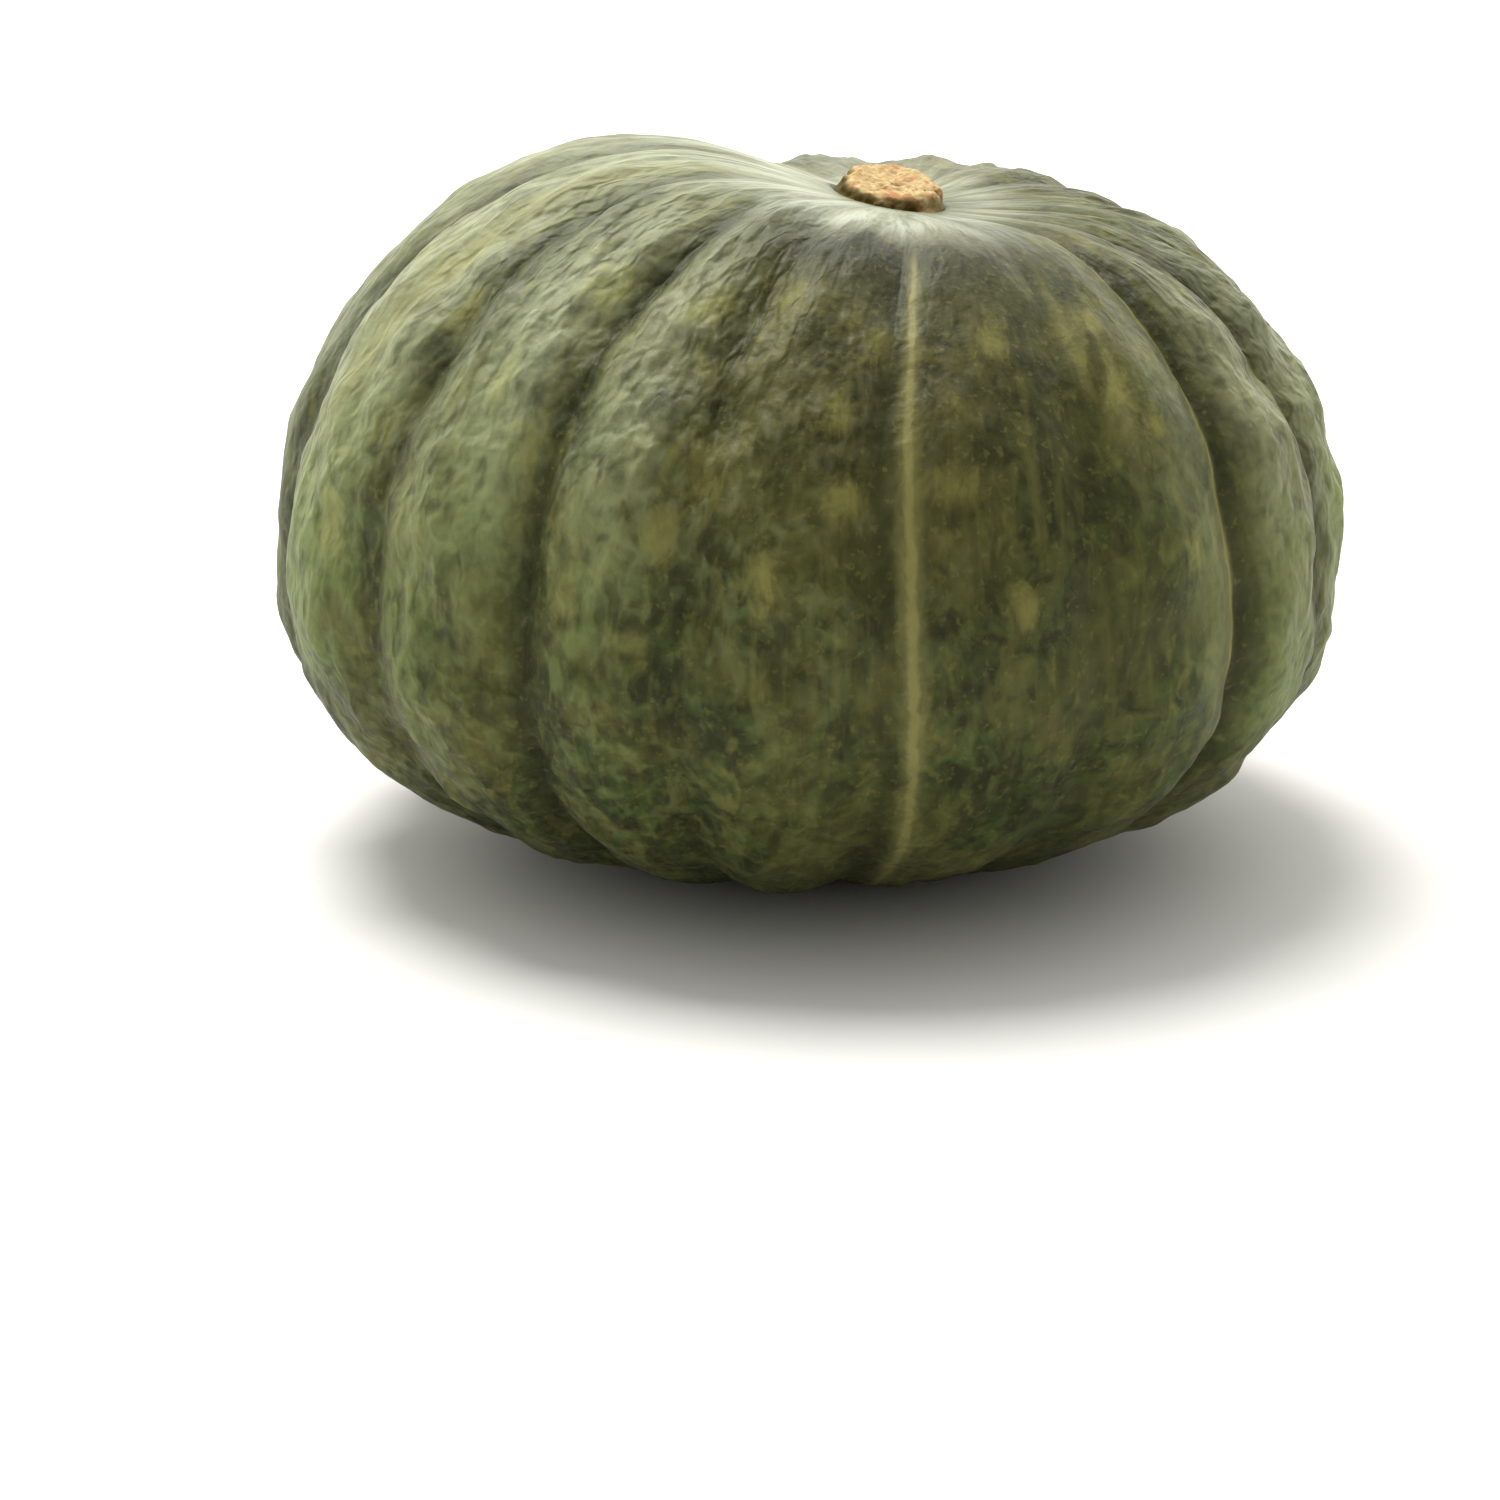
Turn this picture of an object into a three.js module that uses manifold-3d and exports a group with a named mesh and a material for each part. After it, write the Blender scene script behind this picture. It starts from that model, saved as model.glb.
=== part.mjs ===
// A whole kabocha squash as picked: a squat, ribbed green fruit with a short corky stem.
// Millimetres, +Z up, standing on its blossom end. The origin is under the middle of the fruit, on the
// surface that it rests on. Its front faces -Y, and the stem leans towards +X.

import * as THREE from "three";
import { mergeVertices } from "three/addons/utils/BufferGeometryUtils.js";
import Module from "manifold-3d";

// The fruit's driving sizes
const RADIUS = 85; // half of the width at the rib crowns
const TOP_HEIGHT = 68; // from the widest level up to the top, if it had no hollow
const BASE_HEIGHT = 48; // from the widest level down to the underside, if it had no hollow or pads
const ROUNDNESS = 2.25; // exponent of the side outline: 2 is an ellipse, more is squarer
const REST_LEVEL = -45.8; // height of the flat pads that it stands on, from the widest level

// The hollows at the two ends
const STEM_HOLLOW = { depth: 11, radius: 33 };
const BLOSSOM_HOLLOW = { depth: 6, radius: 14 };

// How this fruit departs from an even one: the stem sits off centre, and the shoulder is uneven
const STEM_OFFSET = 12.5;
const LEAN_DROP = 15.5; // fall of the top over one radius towards +X
const SHOULDER_WAVES = [
  { at: 274, width: 28, height: 2.4 },
  { at: 206, width: 36, height: -8.3 },
];
const SHOULDER_REACH = 22; // distance from the stem over which the waves grow to their height

// Each furrow between two ribs: its angle in degrees, counted from -Y towards +X, and its depth
const FURROWS = [
  [-79, 2.4], [-53, 2.6], [-31, 3.8], [-13, 2.6], [7, 2.4], [31, 1.9], [53, 3.8], [72, 2.6], [92, 2.6],
  [113, 1.9], [134, 2.4], [156, 1.8], [177, 2.2], [198, 1.8], [220, 2.4], [240, 2.1], [260, 2.5],
];
const FURROW_HALF_ANGLE = 3.4; // degrees from a furrow's bottom to where its sharp part ends
const FURROW_FADE = [5, 75]; // distances from the axis between which a furrow reaches its depth

// Two sets of broad lumps on the rind: how many stand round it, how their rows twist, and their size
const LUMPS = [
  { round: 7, twist: 2, tall: 9, slant: 11, height: 0.55 },
  { round: 19, twist: -5, tall: 6, slant: -7, height: 0.33 },
];
const LUMP_FADE = [15, 60]; // distances from the axis between which the lumps grow to their height

// The stem
const STEM_RADIUS = 8.9;
const STEM_HEIGHT = 3.3; // of its corky part, from the seat up
const STEM_ROOT = 2.5; // sunk in the socket
const STEM_CUT_SLOPE = new THREE.Vector2(0.05, 0.2); // the cut end rises towards +X and +Y
const STEM_RIDGES = { count: 5, height: 0.25, turn: 0.7 };
const STEM_CREASES = { count: 13, height: 0.2 };
const STEM_END_ROUGH = { count: 7, height: 0.35 };
const GAP = 0.3; // between the stem's root and the socket

// The faceted surface
const RIB_STEPS = [0, 0.11, 0.3, 0.5, 0.7, 0.89]; // places across a rib, from furrow to furrow
const FRUIT_ROWS = 46;
const STEM_COLUMNS = 40;

const wasm = await Module();
wasm.setup();

const lerp = THREE.MathUtils.lerp;
const smoothstep = THREE.MathUtils.smoothstep;
const radians = THREE.MathUtils.degToRad;

// A smooth bump of height 1 at the given angle, for angles in degrees.
function bumpAt(angle, at, width) {
  const away = THREE.MathUtils.euclideanModulo(angle - at + 180, 360) - 180;
  return Math.exp(-((away / width) ** 2));
}

// The side outline without ribs, from the underside to the top: distance from the axis, and height.
class SideOutline extends THREE.Curve {
  getPoint(share, target = new THREE.Vector2()) {
    const level = (share - 0.5) * Math.PI;
    const power = 2 / ROUNDNESS;
    const height = level > 0 ? TOP_HEIGHT : BASE_HEIGHT;
    const rise = Math.sin(level);
    const out = share <= 0 || share >= 1 ? 0 : RADIUS * Math.cos(level) ** power;
    return target.set(out, Math.sign(rise) * height * Math.abs(rise) ** power);
  }
}

// Depth below the rib crown at a place across a rib, where share runs from 0 to 1 between its two furrows.
function furrowDepth(rib, share) {
  const [angle, depth] = FURROWS[rib];
  const [nextAngle, nextDepth] = FURROWS[(rib + 1) % FURROWS.length];
  const span = THREE.MathUtils.euclideanModulo(nextAngle - angle, 360);
  const away = Math.min(share, 1 - share) * span;
  const sharp = Math.exp(-((away / FURROW_HALF_ANGLE) ** 2));
  return lerp(depth, nextDepth, share) * (0.5 * sharp + 0.5 * (1 - Math.sin(Math.PI * share)));
}

// How far the broad lumps stand out at a place on the rind.
function lumpHeight(angle, out, height) {
  const turn = radians(angle);
  let sum = 0;
  for (const lump of LUMPS) {
    const around = Math.sin(lump.round * turn + height / lump.slant);
    sum += lump.height * around * Math.sin(height / lump.tall + lump.twist * turn);
  }
  return sum * smoothstep(out, ...LUMP_FADE);
}

// The rind's surface at an angle in degrees, from a place on the side outline and the furrow's depth there.
function rindPoint(angle, out, height, depth) {
  const upper = height > 0;
  const scale = upper ? TOP_HEIGHT : BASE_HEIGHT;
  const normal = new THREE.Vector2(
    (out / RADIUS) ** (ROUNDNESS - 1) / RADIUS,
    (Math.sign(height) * (Math.abs(height) / scale) ** (ROUNDNESS - 1)) / scale,
  ).normalize();
  const inward = depth * smoothstep(out, ...FURROW_FADE) - lumpHeight(angle, out, height);
  const radius = out - inward * normal.x;
  let level = height - inward * normal.y;
  const hollow = upper ? STEM_HOLLOW : BLOSSOM_HOLLOW;
  level -= Math.sign(height) * hollow.depth * Math.exp(-((out / hollow.radius) ** 2));
  const topness = Math.max(height / TOP_HEIGHT, 0);
  const x = radius * Math.sin(radians(angle));
  const y = -radius * Math.cos(radians(angle));
  level -= (LEAN_DROP * x * topness ** 2) / RADIUS;
  const spread = topness ** 4 * (1 - Math.exp(-((out / SHOULDER_REACH) ** 2)));
  for (const wave of SHOULDER_WAVES) level += wave.height * bumpAt(angle, wave.at, wave.width) * spread;
  return new THREE.Vector3(x + STEM_OFFSET * topness ** 3, y, Math.max(level, REST_LEVEL));
}

// A closed manifold-3d solid from a geometry.
function toSolid(geometry) {
  const bare = new THREE.BufferGeometry();
  bare.setAttribute("position", geometry.getAttribute("position"));
  bare.setIndex(geometry.getIndex());
  const merged = mergeVertices(bare, 1e-3);
  const vertProperties = merged.getAttribute("position").array;
  const triVerts = new Uint32Array(merged.getIndex().array);
  return new wasm.Manifold(new wasm.Mesh({ numProp: 3, vertProperties, triVerts }));
}

// A three.js geometry from a manifold-3d solid.
function toGeometry(solid) {
  const { vertProperties, triVerts } = solid.getMesh();
  const geometry = new THREE.BufferGeometry();
  geometry.setAttribute("position", new THREE.BufferAttribute(vertProperties, 3));
  geometry.setIndex(new THREE.BufferAttribute(triVerts, 1));
  geometry.computeVertexNormals();
  return geometry;
}

// The middle of the stem's seat and the way its axis leans.
const stemSeat = rindPoint(0, 0, TOP_HEIGHT, 0);
const stemLean = Math.atan2(LEAN_DROP, RADIUS);

// The ribbed fruit: a lathe of the side outline, its columns along the furrows, moved onto the rind's surface.
function fruitGeometry() {
  const outline = new SideOutline().getSpacedPoints(FRUIT_ROWS);
  const columns = FURROWS.length * RIB_STEPS.length;
  const geometry = new THREE.LatheGeometry(outline, columns);
  const position = geometry.getAttribute("position");
  for (let i = 0; i < position.count; i++) {
    const column = Math.floor(i / outline.length) % columns;
    const rib = Math.floor(column / RIB_STEPS.length);
    const share = RIB_STEPS[column % RIB_STEPS.length];
    const [angle] = FURROWS[rib];
    const next = FURROWS[rib + 1] ? FURROWS[rib + 1][0] : FURROWS[0][0] + 360;
    const place = outline[i % outline.length];
    const point = rindPoint(lerp(angle, next, share), place.x, place.y, furrowDepth(rib, share));
    position.setXYZ(i, ...point);
  }
  return geometry;
}

// The round seat that the stem's root stands in, as a solid to cut from the fruit.
function socketGeometry() {
  const radius = STEM_RADIUS + GAP;
  const tall = 4 * STEM_HEIGHT;
  const geometry = new THREE.CylinderGeometry(radius, radius, tall, STEM_COLUMNS);
  geometry.rotateX(Math.PI / 2);
  geometry.translate(0, 0, tall / 2 - STEM_ROOT - GAP);
  geometry.rotateY(stemLean);
  geometry.translate(...stemSeat);
  return geometry;
}

// The corky stub: a lathe with swollen ridges down its side, a waist, and a sloping hollowed end.
function stemGeometry() {
  const side = [
    [0, -STEM_ROOT], [0.6, -STEM_ROOT], [1, -STEM_ROOT], [1, 0.2], [0.96, 0.8], [0.95, 1.5], [0.99, 2.2],
    [0.97, 2.9], [0.88, STEM_HEIGHT], [0.72, 3.2], [0.52, 2.8], [0.32, 2.6], [0.14, 2.8], [0, 2.9],
  ];
  const outline = side.map(([share, height]) => new THREE.Vector2(share * STEM_RADIUS, height));
  const geometry = new THREE.LatheGeometry(outline, STEM_COLUMNS);
  const position = geometry.getAttribute("position");
  for (let i = 0; i < position.count; i++) {
    const turn = (2 * Math.PI * (Math.floor(i / outline.length) % STEM_COLUMNS)) / STEM_COLUMNS;
    const { x: out, y: height } = outline[i % outline.length];
    const above = smoothstep(height, 0.2, 2);
    const ridge = STEM_RIDGES.height * (Math.cos(STEM_RIDGES.count * turn + STEM_RIDGES.turn) - 1);
    const crease = STEM_CREASES.height * (Math.sin(STEM_CREASES.count * turn) - 1);
    const radius = out + above * (ridge + crease) * smoothstep(out, 2, STEM_RADIUS);
    const place = new THREE.Vector2(radius * Math.cos(turn), radius * Math.sin(turn));
    const wave = Math.sin(STEM_END_ROUGH.count * turn + out) * smoothstep(out, 1, 5);
    const rough = STEM_END_ROUGH.height * wave;
    const level = height + above * (rough + STEM_CUT_SLOPE.dot(place));
    position.setXYZ(i, place.x, place.y, level);
  }
  return geometry;
}

const rind = new THREE.MeshStandardMaterial({ color: 0x3a4228, roughness: 0.5, metalness: 0 });
const cork = new THREE.MeshStandardMaterial({ color: 0xc9a06a, roughness: 0.85, metalness: 0 });

const fruit = new THREE.Mesh(toGeometry(toSolid(fruitGeometry()).subtract(toSolid(socketGeometry()))), rind);
fruit.name = "fruit";

const stem = new THREE.Mesh(toGeometry(toSolid(stemGeometry())), cork);
stem.name = "stem";
stem.rotation.y = stemLean;
stem.position.copy(stemSeat);

const squash = new THREE.Group();
squash.add(fruit, stem);
const box = new THREE.Box3().setFromObject(squash, true);
const middle = box.getCenter(new THREE.Vector3());
squash.position.set(-middle.x, -middle.y, -box.min.z);

export default squash;
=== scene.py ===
"""A whole kabocha squash: the fine surface and the finish of its fruit and stem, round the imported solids.

Metres, +Z up, standing on its blossom end. Angles round the fruit are in degrees, from the front, -Y,
towards +X. A level is the angle up the side outline, from -90 at the blossom end through 0 at the widest
place to 90 at the stem.
"""

import logging
import math
from dataclasses import dataclass, field
from enum import Enum

import bmesh
import bpy
import numpy as np
from mathutils import Matrix, Vector, noise


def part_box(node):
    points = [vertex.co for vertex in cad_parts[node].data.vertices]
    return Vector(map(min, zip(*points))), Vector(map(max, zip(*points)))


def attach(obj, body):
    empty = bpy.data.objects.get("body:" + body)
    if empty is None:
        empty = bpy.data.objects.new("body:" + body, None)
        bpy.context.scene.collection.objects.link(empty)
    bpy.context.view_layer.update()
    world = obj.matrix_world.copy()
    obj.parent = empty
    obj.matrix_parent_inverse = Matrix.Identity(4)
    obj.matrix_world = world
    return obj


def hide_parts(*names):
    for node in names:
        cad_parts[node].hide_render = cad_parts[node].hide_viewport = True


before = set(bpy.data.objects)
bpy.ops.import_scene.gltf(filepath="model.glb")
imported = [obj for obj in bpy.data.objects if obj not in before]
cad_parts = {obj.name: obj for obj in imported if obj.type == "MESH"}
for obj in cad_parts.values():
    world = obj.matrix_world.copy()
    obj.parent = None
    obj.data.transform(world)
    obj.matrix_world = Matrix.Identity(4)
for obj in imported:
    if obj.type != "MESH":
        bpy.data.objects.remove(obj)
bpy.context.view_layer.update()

LOG = logging.getLogger("squash")
SAME_PLACE = 1e-6

Colour = tuple[float, float, float]
Way = tuple[float, float, float]
Array = np.ndarray
Socket = bpy.types.NodeSocket
Sockets = dict[str, Socket]


class Part(Enum):
    """The pieces of the squash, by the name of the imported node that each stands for."""

    FRUIT = "fruit"
    STEM = "stem"


class Slot(Enum):
    """The record's material slots."""

    RIND = "rind"
    CORK = "cork"


def smoothstep(value: Array, low: float, high: float) -> Array:
    """A smooth rise from 0 at low to 1 at high.

    Args:
        value: The numbers to map.
        low: Where the rise starts.
        high: Where the rise ends.

    Returns:
        The share of the rise at each number.
    """
    share = np.clip((value - low) / (high - low), 0.0, 1.0)
    return share * share * (3.0 - 2.0 * share)


def angle_between(angle: Array, at: Array | float) -> Array:
    """The signed way from one angle to another in degrees, the short way round."""
    return (angle - at + 180.0) % 360.0 - 180.0


def soft_noise(places: Array, size: float, stretch: float = 1.0, offset: float = 0.0) -> Array:
    """Soft random variation over places in space.

    Args:
        places: One row of x, y and z for each place.
        size: The size of the variation's cells.
        stretch: How many times as long the cells are along the third axis.
        offset: A shift of the pattern, in cells, so that two patterns differ.

    Returns:
        A number from -1 to 1 for each place.
    """
    cells = places / (size * np.array([1.0, 1.0, stretch])) + offset
    return np.array([noise.noise(Vector(cell)) for cell in cells])


@dataclass(frozen=True)
class Furrow:
    """A furrow between two ribs: its angle round the fruit, and its depth."""

    angle: float
    depth: float


@dataclass(frozen=True)
class Hollow:
    """A round hollow at one end of the fruit."""

    depth: float
    radius: float


@dataclass(frozen=True)
class Wave:
    """A broad rise or fall of the shoulder."""

    angle: float
    width: float
    height: float


@dataclass(frozen=True)
class Lumps:
    """One set of broad lumps: how many stand round the fruit, how their rows twist, and their size."""

    round: int
    twist: int
    tall: float
    slant: float
    height: float


@dataclass(frozen=True)
class Band:
    """A band of colour down the fruit, from one angle at its upper end to another at its lower end."""

    LOWER_FADE = 8.0
    UPPER_FADE = 7.0

    upper: float
    lower: float
    half_width: float
    top_level: float
    bottom_level: float
    strength: float

    def share(self, angle: Array, level: Array) -> Array:
        """How strongly the band shows at each place.

        Args:
            angle: The angle round the fruit.
            level: The level up the fruit.

        Returns:
            The band's strength at its middle, falling to 0 beside and beyond it.
        """
        along = np.clip((level - self.bottom_level) / (self.top_level - self.bottom_level), 0.0, 1.0)
        middle = self.lower + (self.upper - self.lower) * along
        beside = np.exp(-((angle_between(angle, middle) / self.half_width) ** 2))
        start = smoothstep(level, self.bottom_level - self.LOWER_FADE, self.bottom_level + self.LOWER_FADE)
        end = 1.0 - smoothstep(level, self.top_level - self.UPPER_FADE, self.top_level + self.UPPER_FADE)
        return self.strength * beside * start * end


@dataclass(frozen=True)
class ThinLine:
    """A thin pale line down the fruit: its angles at the levels of 60 and -60, its ends and its strength."""

    END_LEVEL = 60.0
    LOWER_FADE = 8.0
    UPPER_FADE = (8.0, 6.0)

    upper: float
    lower: float
    top_level: float
    bottom_level: float
    strength: float

    def way(self, angle: Array, level: Array) -> Array:
        """The signed way to the line in degrees."""
        down = (self.END_LEVEL - level) / (2.0 * self.END_LEVEL)
        return angle_between(angle, self.upper + (self.lower - self.upper) * down)

    def share(self, level: Array) -> Array:
        """How strongly the line shows at each level."""
        below, above = self.UPPER_FADE
        start = smoothstep(level, self.bottom_level - self.LOWER_FADE, self.bottom_level + self.LOWER_FADE)
        end = 1.0 - smoothstep(level, self.top_level - below, self.top_level + above)
        return self.strength * start * end


@dataclass(frozen=True)
class Blotch:
    """A blotch of paler colour: its place, its half width, and how much longer than wide it is."""

    angle: float
    level: float
    size: float = 0.0024
    stretch: float = 1.5


@dataclass(frozen=True)
class Patch:
    """A broad soft patch of the fruit, where a colour or the pebbly relief is stronger or weaker."""

    angle: float
    level: float
    half_angle: float
    half_level: float
    amount: float

    def share(self, angle: Array, level: Array) -> Array:
        """How strongly the patch counts at each place."""
        across = angle_between(angle, self.angle) / self.half_angle
        return self.amount * np.exp(-(across**2 + ((level - self.level) / self.half_level) ** 2))


@dataclass(frozen=True)
class FruitForm:
    """The form of the fruit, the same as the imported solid's: squat and round, with ribs, leaning a little."""

    OUTLINE_SAMPLES = 6000

    radius: float = 0.085
    top_height: float = 0.068
    base_height: float = 0.048
    roundness: float = 2.25
    rest_level: float = -0.0458
    stem_hollow: Hollow = Hollow(0.011, 0.033)
    blossom_hollow: Hollow = Hollow(0.006, 0.014)
    stem_offset: float = 0.0125
    lean_drop: float = 0.0155
    shoulder_waves: tuple[Wave, ...] = (Wave(274, 28, 0.0024), Wave(206, 36, -0.0083))
    shoulder_reach: float = 0.022
    furrows: tuple[Furrow, ...] = (
        Furrow(-79, 0.0024), Furrow(-53, 0.0026), Furrow(-31, 0.0038), Furrow(-13, 0.0026),
        Furrow(7, 0.0024), Furrow(31, 0.0019), Furrow(53, 0.0038), Furrow(72, 0.0026), Furrow(92, 0.0026),
        Furrow(113, 0.0019), Furrow(134, 0.0024), Furrow(156, 0.0018), Furrow(177, 0.0022),
        Furrow(198, 0.0018), Furrow(220, 0.0024), Furrow(240, 0.0021), Furrow(260, 0.0025),
    )
    furrow_half_angle: float = 3.4
    furrow_crowding: float = 0.075
    furrow_fade: tuple[float, float] = (0.005, 0.075)
    lumps: tuple[Lumps, ...] = (Lumps(7, 2, 0.009, 0.011, 0.00055), Lumps(19, -5, 0.006, -0.007, 0.00033))
    lump_fade: tuple[float, float] = (0.015, 0.060)

    def outline(self, level: Array) -> tuple[Array, Array]:
        """The side outline without ribs, as distance from the axis and height, at levels in degrees."""
        turn = np.radians(level)
        power = 2.0 / self.roundness
        height = np.where(turn > 0.0, self.top_height, self.base_height)
        out = self.radius * np.abs(np.cos(turn)) ** power
        return out, np.sign(turn) * height * np.abs(np.sin(turn)) ** power

    def level_of(self, out: Array, height: Array) -> Array:
        """The level in degrees of places on the side outline."""
        power = self.roundness / 2.0
        tall = np.where(height > 0.0, self.top_height, self.base_height)
        rise = np.minimum(np.abs(height) / tall, 1.0) ** power
        return np.degrees(np.arctan2(np.sign(height) * rise, (out / self.radius) ** power))

    def even_places(self, count: int, stop_out: float) -> list[tuple[float, float]]:
        """Places at even steps up the side outline.

        Args:
            count: The number of steps.
            stop_out: The distance from the axis at which the steps stop, near the stem.

        Returns:
            The distance from the axis and the height of each place, from the blossom end up.
        """
        out, height = self.outline(np.linspace(-90.0, 90.0, self.OUTLINE_SAMPLES))
        keep = (height < 0.0) | (out >= stop_out)
        out, height = np.append(out[keep], stop_out), np.append(height[keep], self.height_at(stop_out))
        out[0] = 0.0
        along = np.concatenate([[0.0], np.cumsum(np.hypot(np.diff(out), np.diff(height)))])
        steps = np.linspace(0.0, along[-1], count + 1)
        return list(zip(np.interp(steps, along, out), np.interp(steps, along, height)))

    def height_at(self, out: float) -> float:
        """The height of the upper side outline at a distance from the axis."""
        return self.top_height * (1.0 - (out / self.radius) ** self.roundness) ** (1.0 / self.roundness)

    def rib_places(self, columns: Array, per_rib: int) -> tuple[Array, Array, Array]:
        """Where each column of the mesh stands: one along each furrow, and more of them beside it.

        Args:
            columns: The number of each column, from 0.
            per_rib: How many columns a rib has.

        Returns:
            For each column its angle, its depth below the rib's crown, and how near it is to the bottom of
            a furrow, from 0 to 1.
        """
        angles = np.array([furrow.angle for furrow in self.furrows] + [self.furrows[0].angle + 360.0])
        depths = np.array([furrow.depth for furrow in self.furrows] + [self.furrows[0].depth])
        rib = (columns // per_rib) % len(self.furrows)
        share = (columns % per_rib) / per_rib
        beside_furrow = np.abs(share - 0.5) > 0.25
        share = share - self.furrow_crowding * np.sin(4.0 * np.pi * share) * beside_furrow
        span = angles[rib + 1] - angles[rib]
        away = np.minimum(share, 1.0 - share) * span
        sharp = np.exp(-((away / self.furrow_half_angle) ** 2))
        depth = depths[rib] + (depths[rib + 1] - depths[rib]) * share
        hollow = depth * (0.5 * sharp + 0.5 * (1.0 - np.sin(np.pi * share)))
        return angles[rib] + share * span, hollow, sharp

    def lump_height(self, angle: Array, out: Array, height: Array) -> Array:
        """How far the broad lumps stand out at each place."""
        turn = np.radians(angle)
        total = np.zeros_like(turn)
        for lump in self.lumps:
            around = np.sin(lump.round * turn + height / lump.slant)
            total += lump.height * around * np.sin(height / lump.tall + lump.twist * turn)
        return total * smoothstep(out, *self.lump_fade)

    def points(self, angle: Array, out: Array, height: Array, hollow: Array, relief: Array) -> Array:
        """The rind's surface, before it is moved to its place in the frame.

        Args:
            angle: The angle round the fruit.
            out: The distance from the axis on the side outline.
            height: The height on the side outline.
            hollow: The depth below the rib's crown.
            relief: How far the fine relief stands out.

        Returns:
            One row of x, y and z for each place.
        """
        tall = np.where(height > 0.0, self.top_height, self.base_height)
        sign = np.sign(height)
        normal = np.stack([
            (out / self.radius) ** (self.roundness - 1.0) / self.radius,
            sign * (np.abs(height) / tall) ** (self.roundness - 1.0) / tall,
        ])
        normal /= np.hypot(*normal)
        inward = hollow * smoothstep(out, *self.furrow_fade) - self.lump_height(angle, out, height) - relief
        spread_out = out - inward * normal[0]
        level = height - inward * normal[1]
        for side, end in ((1.0, self.stem_hollow), (-1.0, self.blossom_hollow)):
            level -= np.where(sign == side, side * end.depth * np.exp(-((out / end.radius) ** 2)), 0.0)
        topness = np.maximum(height / self.top_height, 0.0)
        x = spread_out * np.sin(np.radians(angle))
        y = -spread_out * np.cos(np.radians(angle))
        level -= self.lean_drop * x * topness**2 / self.radius
        spread = topness**4 * (1.0 - np.exp(-((out / self.shoulder_reach) ** 2)))
        for wave in self.shoulder_waves:
            level += wave.height * np.exp(-((angle_between(angle, wave.angle) / wave.width) ** 2)) * spread
        return np.stack([x + self.stem_offset * topness**3, y, np.maximum(level, self.rest_level)], axis=1)

    @property
    def seat(self) -> Vector:
        """The middle of the stem's seat, before it is moved to its place in the frame."""
        return Vector((self.stem_offset, 0.0, self.top_height - self.stem_hollow.depth))

    @property
    def lean(self) -> float:
        """The angle in radians by which the stem leans towards +X."""
        return math.atan2(self.lean_drop, self.radius)


@dataclass(frozen=True)
class Pattern:
    """Soft random variation in a finish: its cells to the metre, and how its finer layers add to them.

    Where along is given, the pattern lies on the grain of the ribs, and its cells are 1 / along times as
    long as they are wide. Elsewhere it follows the place in space.
    """

    cells: float
    layers: float
    harshness: float
    swirl: float = 0.0
    along: float | None = None


class NodeBench:
    """Adds nodes to a node tree and wires them together."""

    def __init__(self, tree: bpy.types.NodeTree) -> None:
        """Starts with an empty tree."""
        self.tree = tree
        tree.nodes.clear()

    def add(
        self, kind: str, inputs: dict[str | int, object] | None = None, **settings: object,
    ) -> bpy.types.Node:
        """Adds one node.

        Args:
            kind: The node's type name.
            inputs: What goes into its sockets, by name or number: another node's socket, or a value.
            settings: The node's own settings.

        Returns:
            The new node.
        """
        node = self.tree.nodes.new(kind)
        for name, value in settings.items():
            setattr(node, name, value)
        for name, value in (inputs or {}).items():
            if isinstance(value, Socket):
                self.tree.links.new(value, node.inputs[name])
            elif isinstance(value, tuple) and len(value) == 3 and node.inputs[name].type == "RGBA":
                node.inputs[name].default_value = (*value, 1.0)
            else:
                node.inputs[name].default_value = value
        return node

    def attribute(self, name: str) -> bpy.types.Node:
        """Reads one of the piece's own attributes."""
        return self.add("ShaderNodeAttribute", attribute_name=name)

    def noise(self, where: Socket, pattern: Pattern) -> Socket:
        """Soft random variation from 0 to 1."""
        return self.add("ShaderNodeTexNoise", {
            "Vector": where, "Scale": pattern.cells, "Detail": pattern.layers,
            "Roughness": pattern.harshness, "Distortion": pattern.swirl,
        }).outputs["Fac"]

    def stretched(self, where: Socket, scale: Way) -> Socket:
        """The same places with each axis scaled."""
        return self.add("ShaderNodeMapping", {"Vector": where, "Scale": scale}).outputs[0]

    def maths(self, operation: str, first: object, second: object = 0.0) -> Socket:
        """The result of one sum on two values."""
        return self.add("ShaderNodeMath", {0: first, 1: second}, operation=operation).outputs[0]

    def times(self, first: object, second: object) -> Socket:
        """The product of two values."""
        return self.maths("MULTIPLY", first, second)

    def rise(self, value: Socket, low: float, high: float, amount: float = 1.0) -> Socket:
        """A smooth rise from 0 where the value is low to the full amount where it is high."""
        inputs = {"Value": value, "From Min": low, "From Max": high, "To Max": amount}
        return self.add("ShaderNodeMapRange", inputs, interpolation_type="SMOOTHSTEP").outputs["Result"]

    def between(self, value: Socket, low: float, high: float) -> Socket:
        """A value from 0 to 1 spread between two others."""
        inputs = {"Value": value, "To Min": low, "To Max": high}
        return self.add("ShaderNodeMapRange", inputs).outputs["Result"]

    def mix(self, share: object, first: object, second: object) -> Socket:
        """The first colour where the share is 0, and the second where it is 1."""
        node = self.add("ShaderNodeMix", data_type="RGBA")
        for number, value in ((0, share), (6, first), (7, second)):
            if isinstance(value, Socket):
                self.tree.links.new(value, node.inputs[number])
            else:
                node.inputs[number].default_value = (*value, 1.0) if isinstance(value, tuple) else value
        return node.outputs[2]

    def bump(self, height: object, distance: float, below: object = None) -> Socket:
        """Fine relief of a given height in metres, on top of another."""
        node = self.add("ShaderNodeBump", {"Height": height, "Distance": distance, "Strength": 1.0})
        if below is not None:
            self.tree.links.new(below, node.inputs["Normal"])
        return node.outputs[0]


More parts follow.
